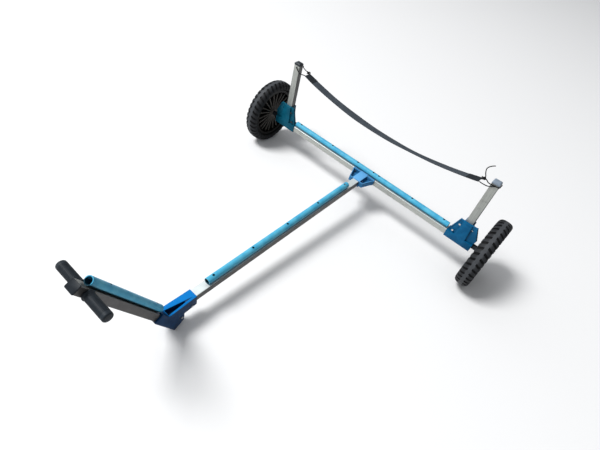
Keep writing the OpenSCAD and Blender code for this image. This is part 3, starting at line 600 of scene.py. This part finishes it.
class Finish:
    """A material made of one Principled shader and the nodes that feed it."""

    def __init__(self, name, colour, roughness, metallic=0.0, gloss=0.12):
        self.material = bpy.data.materials.new(name)
        self.material.use_nodes = True
        self.tree = self.material.node_tree
        self.shader = self.tree.nodes["Principled BSDF"]
        self.set(**{"Base Color": (*colour, 1), "Roughness": roughness, "Metallic": metallic,
                    "Specular IOR Level": gloss})

    def feed(self, socket, value):
        """Link a Number or a socket to this socket, or set a constant on it."""
        if isinstance(value, Number):
            value = value.socket
        if isinstance(value, bpy.types.NodeSocket):
            self.tree.links.new(value, socket)
        else:
            socket.default_value = value

    def set(self, **inputs):
        """Feed the Principled shader's sockets."""
        for name, value in inputs.items():
            self.feed(self.shader.inputs[name], value)

    def node(self, kind, settings=None, inputs=None):
        """A node of this kind: its settings first, then the values or links of its sockets."""
        made = self.tree.nodes.new(kind)
        for key, value in (settings or {}).items():
            setattr(made, key, value)
        for key, value in (inputs or {}).items():
            self.feed(made.inputs[key], value)
        return made

    def number(self, kind, settings=None, inputs=None):
        """The first output of a new node, as a Number."""
        return Number(self, self.node(kind, settings, inputs).outputs[0])

    def place(self, turn=0.0, centre=None):
        """x, y and z in the cart's level axes, in millimetres, turned further about X by turn."""
        middle = Vector(centre) if centre else Vector((0, axle.y, axle.z))
        spin = Matrix.Rotation(-lean - turn, 3, "X")
        where = self.node("ShaderNodeTexCoord").outputs["Object"]
        level = self.node("ShaderNodeMapping", {"vector_type": "POINT"}, {
            "Vector": where, "Rotation": (-lean - turn, 0, 0), "Scale": (1 / MM,) * 3,
            "Location": tuple((spin @ middle) / -MM)})
        self.level = level.outputs[0]
        split = self.node("ShaderNodeSeparateXYZ", inputs={0: self.level})
        return [Number(self, output) for output in split.outputs]

    def noise(self, scale, detail=4.0, roughness=0.5, vector=None):
        """Noise from 0 to 1 over the piece; scale is in features for each millimetre."""
        return self.number("ShaderNodeTexNoise", None, {
            "Vector": vector or self.level, "Scale": scale, "Detail": detail, "Roughness": roughness})

    def mix(self, share, first, second):
        """A colour between first and second; a colour is a socket or (red, green, blue)."""
        first, second = ((*c, 1) if isinstance(c, tuple) else c for c in (first, second))
        return self.node("ShaderNodeMix", {"data_type": "RGBA"}, {0: share, 6: first, 7: second}).outputs[2]

    def between(self, value, low, high):
        """0 below low, 1 above high, smooth between them."""
        return self.number("ShaderNodeMapRange", {"interpolation_type": "SMOOTHSTEP"}, {
            0: value, 1: low, 2: high, 3: 0.0, 4: 1.0})

    def bump(self, height, depth, strength=1.0):
        """Relief of this height from 0 to 1, depth in millimetres."""
        self.set(Normal=self.node("ShaderNodeBump", None, {
            "Height": height, "Distance": depth * MM, "Strength": strength}).outputs[0])


def paint(piece, finish):
    """Give a piece made here one finish."""
    piece.data.materials.clear()
    piece.data.materials.append(finish.material)


def paint_nodes(finish, *names):
    """Give parts of the frame a finish, in the slots they have."""
    for name in names:
        for slot in nodes[name].material_slots:
            slot.material = finish.material


# %% [markdown]
# ## Extruded aluminium
# The tubes are drawn through a die that leaves very fine ribs along them, and are left without paint. The
# metal is dull, with handling marks and faint streaks along its length. The ribs run along a different
# axis on each tube, so the finish is made once for each direction from the two cross coordinates.

# %% Tube finish
UPRIGHT_X = 632
BEAM_TOP = 11
HANDLE_TURN = math.radians(90) - HANDLE_ANGLE


def tube_finish(name, length_axis, turn=0.0, shade=1.0, middle=None, right_shade_level=0.12, scratches_and_lit_top=False):
    """middle is the tube's place across the cart, whose right-hand face is painted darker as painted shade.
    The last flag paints a pale highlight on the tube's upward faces."""
    metal = Finish(name, (0.5, 0.5, 0.5), 0.4, 0.6, gloss=0.5)
    x, y, z = metal.place(turn)
    cross = [v for axis, v in zip("xyz", (x, y, z)) if axis != length_axis]
    squeeze = tuple(0.02 if axis == length_axis else 1.0 for axis in "xyz")
    streaked = metal.node("ShaderNodeMapping", None, {"Vector": metal.level, "Scale": squeeze}).outputs[0]
    streaks = metal.noise(0.55, 3.0, 0.6, streaked)
    marks = metal.noise(0.035, 5.0, 0.62)
    fine = metal.noise(0.9, 2.0)
    ribs = ((cross[0] * 2.6).math("SINE") + (cross[1] * 2.6).math("SINE")) * 0.25 + 0.5
    dim, bright, mark = (tuple(shade * c for c in colour) for colour in (
        (0.29, 0.302, 0.283), (0.42, 0.435, 0.41), (0.22, 0.22, 0.21)))
    tone = metal.mix(metal.between(streaks, 0.3, 0.75), dim, bright)
    wear_and_painted_light = metal.mix(metal.between(marks, 0.58, 0.80), tone, mark)
    if scratches_and_lit_top:
        # Painted highlight: everything above the axle beam's top edge is paled towards a bright cyan-grey.
        top = metal.between(z, BEAM_TOP - 0.8, BEAM_TOP - 0.1) * (0.7 + streaks * 0.5)
        wear_and_painted_light = metal.mix(top, wear_and_painted_light, (0.74, 0.80, 0.80))
    if middle is not None:
        # Painted shade: the face to the right of the tube's middle is darkened towards the side shade
        # level.
        right_shade_mask = metal.between(x, middle + 18.6, middle + 19.9) * (0.75 + marks * 0.5)
        wear_and_painted_light = metal.mix(right_shade_mask, wear_and_painted_light, (right_shade_level, right_shade_level * 0.97, right_shade_level * 0.96))
    metal.set(**{"Base Color": wear_and_painted_light, "Roughness": 0.36 + metal.between(marks, 0.2, 0.8) * 0.16})
    metal.bump(ribs * 0.7 + fine * 0.3, 0.12, 0.5)
    return metal


tube_across = tube_finish("aluminium_across", "x", shade=1.2, scratches_and_lit_top=True)
tube_along = tube_finish("aluminium_along", "y", middle=0, right_shade_level=0.08, scratches_and_lit_top=True)
tube_upright_right = tube_finish("aluminium_upright_right", "z", middle=UPRIGHT_X)
tube_upright_left = tube_finish("aluminium_upright_left", "z", shade=1.1, middle=-UPRIGHT_X, right_shade_level=0.07)
# The handle's copy of the aluminium is darkened to less than half, as painted shade over the whole leaning
# handle.
tube_handle = tube_finish("aluminium_handle", "z", HANDLE_TURN, shade=0.45, middle=0, right_shade_level=0.08)
paint_nodes(tube_across, "axle_beam", "handle_crossbar")
paint_nodes(tube_along, "drawbar")
paint_nodes(tube_upright_right, "upright_right")
paint_nodes(tube_upright_left, "upright_left")
paint_nodes(tube_handle, "handle_beam")
print("tubes painted")

# %% [markdown]
# ## Sky-blue rail pipes
# Lengths of blue pressure pipe are screwed along the beams so that the hull slides on plastic. The pipe
# is coloured right through, with a slight gloss, fine scratches along it and a chalky bloom in patches, and
# its underside is painted darker as painted shade.

# %% Pipe finish
PIPE_AXIS_Z = 27
PIPE_R = 16


def pipe_finish(name, along, across, upward, screws, turn=0.0, middle=None):
    """along, across and upward name the pipe's own directions; screws are places along it."""
    plastic = Finish(name, (0.05, 0.4, 0.7), 0.35)
    axes = dict(zip("xyz", plastic.place(turn, middle)))
    squeeze = tuple(0.03 if axis == along else 1.0 for axis in "xyz")
    streaked = plastic.node("ShaderNodeMapping", None,
                            {"Vector": plastic.level, "Scale": squeeze}).outputs[0]
    scratches = plastic.noise(0.8, 4.0, 0.65, streaked)
    bloom = plastic.noise(0.02, 4.0)
    tone = plastic.mix(plastic.between(bloom, 0.3, 0.75), (0.045, 0.31, 0.50), (0.10, 0.42, 0.58))
    scratches_and_lit_top = plastic.mix(plastic.between(scratches, 0.60, 0.78) * 0.6, tone, (0.15, 0.47, 0.62))
    side, up = axes[across], axes[upward] - PIPE_AXIS_Z
    # Painted shade: the pipe darkens below its axis, towards where it sits on the beam.
    underside_shade = 1 - plastic.between(up + scratches * 3, -6, 7)
    # Painted shade in recesses: the pipe's bore, where its end shows, and the screw holes are painted
    # nearly black.
    inside = 1 - plastic.between((side * side + up * up).math("SQRT"), PIPE_R - 2.2, PIPE_R - 1.0)
    for screw in screws:
        away = axes[along] - screw
        spot = 1 - plastic.between((away * away + side * side).math("SQRT"), 4.6, 7.4)
        inside = inside.math("MAXIMUM", spot * plastic.between(up, 0, 4))
    shaded_underside = plastic.mix(underside_shade * 0.82, scratches_and_lit_top, (0.010, 0.085, 0.135))
    dark = plastic.mix(inside, shaded_underside, (0.004, 0.035, 0.055))
    plastic.set(**{"Base Color": dark, "Roughness": 0.32 + plastic.between(scratches, 0.3, 0.8) * 0.22})
    plastic.bump(scratches, 0.12, 0.35)
    return plastic


paint_nodes(pipe_finish("pipe_blue_across", "x", "y", "z", (-515, -262, -70, 44, 82, 310, 515)),
            "axle_pipe")
paint_nodes(pipe_finish("pipe_blue_along", "y", "x", "z", (-225, -460, -695, -930, -1165)),
            "drawbar_pipe")
paint_nodes(pipe_finish("pipe_blue_handle", "z", "x", "y", (110, 420), HANDLE_TURN, place(*BEND)),
            "handle_pipe")
print("pipes painted")

# %% [markdown]
# ## Moulded plastics
# The brackets are glass-filled nylon, dyed a deep blue, and each part is given its own blue; the elbow's is
# darkened as painted shade. The moulding leaves a fine spark-eroded grain, and the caps and the wheel's
# plastic have the same grain in black and grey. One function makes them all from a colour and its faded
# shade. On the rims, painted shade darkens the middle plane between the ribs, and a painted highlight pales
# the ribs' outer edges.

# %% Moulding finish
def moulding_finish(name, colour, faded, roughness=0.42, grain=0.10, top=None):
    """top is (y, colour): a paler colour painted on upward faces behind y, as painted light from above."""
    plastic = Finish(name, colour, roughness)
    _, y, z = plastic.place()
    patches = plastic.noise(0.028, 4.0, 0.55)
    fine = plastic.noise(1.1, 3.0, 0.6)
    scuffs = plastic.noise(0.16, 6.0, 0.72)
    tone = plastic.mix(plastic.between(patches, 0.32, 0.72), colour, faded)
    if top:
        start, lit_top_colour = top
        # Painted light: upward faces above the beam's top, behind y, are paled towards the lit colour.
        lit_top_mask = plastic.between(z, BEAM_TOP + 1, BEAM_TOP + 2.6) * plastic.between(y, start - 4, start + 4)
        tone = plastic.mix(lit_top_mask * (0.8 + patches * 0.3), tone, lit_top_colour)
    scuffed = plastic.mix(plastic.between(scuffs, 0.66, 0.80) * 0.45, tone,
                          tuple(min(1, c * 1.5 + 0.05) for c in faded))
    plastic.set(**{"Base Color": scuffed, "Roughness": roughness - 0.06 + patches * 0.14})
    plastic.bump(fine, grain, 0.5)
    return plastic


# The elbow's blue is darkened to its shaded side faces' navy as painted shade, and its upward faces get the
# painted light.
paint(mouldings["elbow_bracket"],
      moulding_finish("nylon_blue_elbow", (0.0, 0.026, 0.085), (0.0, 0.040, 0.125),
                      top=(-1412, (0.0, 0.165, 0.50))))
paint(mouldings["tee_bracket"],
      moulding_finish("nylon_blue_tee", (0.015, 0.115, 0.27), (0.035, 0.17, 0.36),
                      top=(-200, (0.12, 0.36, 0.66))))
paint(mouldings["corner_bracket_right"],
      moulding_finish("nylon_blue_right", (0.0, 0.072, 0.175), (0.002, 0.10, 0.23)))
paint(mouldings["corner_bracket_left"],
      moulding_finish("nylon_blue_left", (0.0, 0.062, 0.105), (0.002, 0.085, 0.14)))
cap_grey = moulding_finish("cap_grey", (0.024, 0.029, 0.034), (0.045, 0.052, 0.058), 0.34)
cap_black = moulding_finish("cap_black", (0.008, 0.011, 0.015), (0.016, 0.021, 0.027), 0.40)
# A paler copy of the grey cap finish, painted as the highlight on the right upright's cap.
cap_grey_highlit = moulding_finish("cap_grey_highlit", (0.17, 0.21, 0.26), (0.24, 0.29, 0.345), 0.34)
paint(mouldings["upright_cap_left"], cap_grey)
paint(mouldings["upright_cap_right"], cap_grey_highlit)
paint(mouldings["handle_end_cap"], cap_black)
for side, node in ((1, "rim_right"), (-1, "rim_left")):
    rim_finish = Finish(node + "_nylon", (0.02, 0.02, 0.02), 0.45)
    x, y, z = rim_finish.place(0.0, (side * wheel_x * MM, axle.y, axle.z))
    # Painted shade: the outer ring past 126 mm radius is kept dark.
    ribs = 1 - rim_finish.between((y * y + z * z).math("SQRT"), 126, 134)
    cloudy = rim_finish.noise(0.05, 5.0, 0.6)
    # Painted shade and highlight: the middle plane between the ribs is darkest and the ribs' outer edges
    # are paled.
    shade = rim_finish.between(x.math("ABSOLUTE"), 8, 21) * ribs * (0.6 + cloudy * 0.6)
    rim_finish.set(**{"Base Color": rim_finish.mix(shade, (0.004, 0.004, 0.004), (0.085, 0.079, 0.072)),
                      "Roughness": 0.40 + cloudy * 0.15})
    rim_finish.bump(rim_finish.noise(1.1, 3.0, 0.6), 0.10, 0.5)
    paint_nodes(rim_finish, node)
paint_nodes(cap_black, "axle_plug_left", "axle_plug_right", "hub_spacer_left", "hub_spacer_right",
            "retaining_cap_left", "retaining_cap_right", "hub_bushes_left", "hub_bushes_right",
            "outer_washer_left", "outer_washer_right")

# %% [markdown]
# ## Steel fasteners
# The bolts, nuts, pins and stub axles are stainless steel with turned, slightly uneven faces. The pipe
# screws sit deep in their holes, so their steel is painted nearly black as painted shade.

# %% Steel finish
def steel_finish(name, shade, roughness):
    steel = Finish(name, (shade,) * 3, roughness, 1.0, gloss=0.5)
    steel.place()
    turned = steel.noise(0.9, 3.0)
    steel.set(**{"Base Color": steel.mix(turned, (shade * 0.75,) * 3, (shade * 1.1,) * 3),
                 "Roughness": roughness + turned * 0.15})
    steel.bump(turned, 0.05, 0.4)
    return steel


bolt_steel = steel_finish("stainless_steel", 0.62, 0.24)
paint_nodes(bolt_steel, "tee_bolts", "tee_nuts", "elbow_bolts", "elbow_nuts", "corner_bolts_right",
            "corner_nuts_right", "axle_pins", "stub_axle_left", "stub_axle_right")
# The pipe screws' steel is painted nearly black, as the shade in their holes; the left corner bracket's
# bolts and nuts share it.
paint_nodes(steel_finish("screw_steel", 0.07, 0.5), "axle_pipe_screws", "drawbar_pipe_screws",
            "handle_pipe_screws", "corner_bolts_left", "corner_nuts_left")

# %% [markdown]
# ## Rubber
# The tyres' blocks are black at their sides and a paler grey on their tread, most of all on the middle
# band, partly dust and wear and partly a painted highlight. The grips are softer rubber with a slight sheen
# on their rings.

# %% Tyre and grip finishes
def tyre_finish(name, side):
    rubber = Finish(name, (0.02, 0.02, 0.02), 0.6)
    x, y, z = rubber.place(0.0, (side * wheel_x * MM, axle.y, axle.z))
    radius = (y * y + z * z).math("SQRT")
    dust = rubber.noise(0.05, 5.0, 0.6)
    fine = rubber.noise(0.8, 3.0)
    across = (x.math("ABSOLUTE") / TYRE_HALF).math("POWER", 2 / SQUARE)
    outward = ((radius - (TYRE_R - SIDE_RISE)).math("ABSOLUTE") / SIDE_RISE).math("POWER", 2 / SQUARE)
    raised = rubber.between(across + outward, 0.76, 0.97)
    middle = 1 - rubber.between(x.math("ABSOLUTE"), BAND_HALF - 3, BAND_HALF + 8)
    # Paler tread: partly dust and wear, partly a painted highlight that is strongest on the middle band.
    wear_and_painted_light = raised * (0.36 + middle * 0.64) * (0.55 + dust * 0.7)
    tone = rubber.mix(wear_and_painted_light, (0.0025, 0.0027, 0.003), (0.056, 0.060, 0.066))
    rubber.set(**{"Base Color": tone, "Roughness": 0.62 - wear_and_painted_light * 0.10})
    rubber.bump(fine * 0.6 + dust * 0.4, 0.18, 0.5)
    return rubber


for side, tyre in tyres.items():
    paint(tyre, tyre_finish("tyre_rubber_right" if side > 0 else "tyre_rubber_left", side))

grip_rubber = Finish("grip_rubber", (0.03, 0.035, 0.042), 0.48)
grip_rubber.place()
grip_dust = grip_rubber.noise(0.09, 5.0, 0.6)
grip_rubber.set(**{"Base Color": grip_rubber.mix(grip_dust, (0.011, 0.014, 0.018), (0.026, 0.034, 0.042)),
                   "Roughness": 0.42 + grip_dust * 0.14})
grip_rubber.bump(grip_rubber.noise(1.3, 3.0), 0.10, 0.4)
for grip in grips:
    paint(grip, grip_rubber)

# %% [markdown]
# ## Woven webbing and braided cord
# Webbing is a heavy plain weave, so its threads cross about every two millimetres with a bound edge. The
# cord is a round braid of fine strands that cross on a slant. Both follow the piece and not the room, so
# they read the piece's own UV map.

# %% Cloth finishes
def weave_finish(name, dark, light, along, across, depth, slant=0.0, edge=False):
    """along and across count threads over the piece's UV map; edge darkens the bound edges."""
    cloth = Finish(name, dark, 0.85, gloss=0.15)
    cloth.place()
    split = cloth.node("ShaderNodeSeparateXYZ", inputs={0: cloth.node("ShaderNodeUVMap").outputs[0]})
    u, v = Number(cloth, split.outputs[0]), Number(cloth, split.outputs[1])
    first = ((u * along + v * across * slant) * 2 * math.pi).math("SINE")
    second = ((v * across - u * along * slant) * 2 * math.pi).math("SINE")
    threads = first * second * 0.5 + 0.5
    wear = cloth.noise(0.03, 4.0)
    fuzz = cloth.noise(1.6, 3.0)
    tone = cloth.mix(threads * 0.7 + fuzz * 0.3, dark, light)
    faded = cloth.mix(cloth.between(wear, 0.35, 0.8) * 0.35, tone, tuple(c * 1.35 for c in light))
    if edge:
        rim = cloth.between((v - 0.5).math("ABSOLUTE"), 0.42, 0.47)
        faded = cloth.mix(rim * 0.6, faded, dark)
    cloth.set(**{"Base Color": faded})
    cloth.bump(threads * 0.75 + fuzz * 0.25, depth, 0.7)
    return cloth


webbing_cloth = weave_finish("webbing_weave", (0.022, 0.028, 0.035), (0.062, 0.074, 0.088), 560, 20, 0.35,
                             edge=True)
hem_cloth = weave_finish("webbing_hem_weave", (0.008, 0.010, 0.013), (0.022, 0.027, 0.032), 30, 20, 0.35,
                         edge=True)
cord_braid = weave_finish("cord_braid", (0.003, 0.003, 0.0035), (0.013, 0.0135, 0.015), 6, 90, 0.3, 1.0)
thread = weave_finish("stitch_thread", (0.012, 0.013, 0.015), (0.03, 0.033, 0.037), 4, 4, 0.05)
paint(webbing, webbing_cloth)
for piece in (hem_right, hem_left):
    paint(piece, hem_cloth)
for piece in cord_pieces:
    paint(piece, cord_braid)
for piece in stitch_pieces:
    paint(piece, thread)

# %% [markdown]
# ## Floor and light
# A plain pale floor and a large soft light over the handle's left shoulder. The room is brighter on that
# side, so that the faces turned away from it fall into shade and the metal has something to reflect.

# %% Floor
clear_selection()
bpy.ops.mesh.primitive_plane_add(size=60, location=(0, 0, 0))
floor = added("floor")
settle(floor)
floor_paint = Finish("floor_pale", (0.78, 0.78, 0.78), 0.95)
paint(floor, floor_paint)

# %% Light and room
lamp = bpy.data.lights.new("key_light", "AREA")
lamp.size = 5.0
lamp.energy = 2900
key_light = bpy.data.objects.new("key_light", lamp)
bpy.context.collection.objects.link(key_light)
key_light.location = (-7.0, -6.0, 13.5)
key_light.rotation_euler = key_light.location.to_track_quat("Z", "Y").to_euler()
room = bpy.data.worlds.new("room")
bpy.context.scene.world = room
bpy.context.scene.view_settings.view_transform = "Standard"
room.use_nodes = True
room_nodes = room.node_tree.nodes
room_links = room.node_tree.links
direction = room_nodes.new("ShaderNodeTexCoord")
toward_light = room_nodes.new("ShaderNodeVectorMath")
toward_light.operation = "DOT_PRODUCT"
toward_light.inputs[1].default_value = (-0.72, -0.30, 0.62)
fade = room_nodes.new("ShaderNodeMapRange")
fade.interpolation_type = "SMOOTHSTEP"
for name, value in (("From Min", -0.35), ("From Max", 0.95), ("To Min", 0.10), ("To Max", 0.75)):
    fade.inputs[name].default_value = value
room_links.new(direction.outputs["Generated"], toward_light.inputs[0])
room_links.new(toward_light.outputs["Value"], fade.inputs[0])
room_links.new(fade.outputs[0], room_nodes["Background"].inputs["Strength"])
room_nodes["Background"].inputs["Color"].default_value = (0.95, 0.97, 1.0, 1)
print("key light at", tuple(key_light.location))
